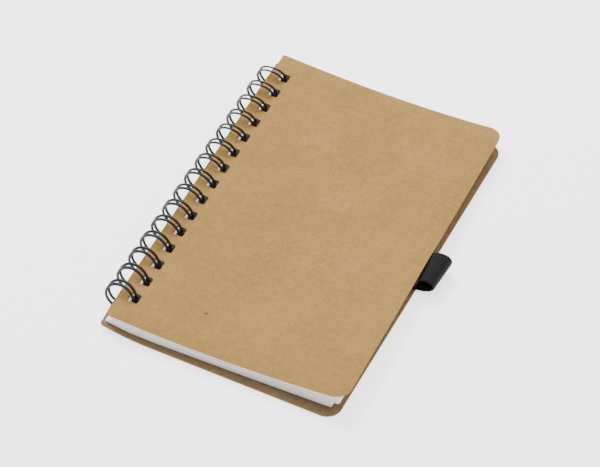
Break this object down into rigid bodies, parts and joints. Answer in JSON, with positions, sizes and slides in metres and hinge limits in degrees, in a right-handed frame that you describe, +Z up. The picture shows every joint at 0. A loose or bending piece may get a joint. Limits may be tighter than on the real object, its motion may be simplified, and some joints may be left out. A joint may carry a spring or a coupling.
{
  "type": "sketchbook",
  "caption": "Wire-bound sketchbook with kraft card covers, rounded fore-edge corners, plain white sheets and an elastic pencil loop on the fore-edge.",
  "frame": {"origin": "on the plane the closed book lies on, under the middle of its overall outline", "axes": "+Z up out of the front cover, +X from the binding to the fore-edge, +Y along the binding"},
  "size_m": [0.1516, 0.21, 0.0182],
  "materials": {
    "kraft_card": "matte",
    "white_paper": "matte",
    "black_wire": "satin",
    "black_webbing": "matte"
  },
  "bodies": {
    "base": {"back_cover": "kraft_card", "binding_wire": "black_wire", "pen_loop": "black_webbing"},
    "pages_lower": {"sheets_bottom": "white_paper", "sheets_low": "white_paper"},
    "pages_upper": {"sheets_middle": "white_paper", "sheets_high": "white_paper"},
    "top_leaf": {"sheet_top": "white_paper"},
    "cover": {"front_cover": "kraft_card"}
  },
  "joints": [
    {"name": "pages_lower_turn", "type": "hinge", "parent": "base", "child": "pages_lower", "pos_m": [-0.0672, 0, 0.0096], "axis": [0, -1, 0], "range_deg": [0, 180]},
    {"name": "pages_upper_turn", "type": "hinge", "parent": "pages_lower", "child": "pages_upper", "pos_m": [-0.0672, 0, 0.0096], "axis": [0, -1, 0], "range_deg": [0, 180]},
    {"name": "top_leaf_turn", "type": "hinge", "parent": "pages_upper", "child": "top_leaf", "pos_m": [-0.0672, 0, 0.0096], "axis": [0, -1, 0], "range_deg": [0, 180]},
    {"name": "cover_turn", "type": "hinge", "parent": "top_leaf", "child": "cover", "pos_m": [-0.0672, 0, 0.0096], "axis": [0, -1, 0], "range_deg": [0, 180]}
  ]
}
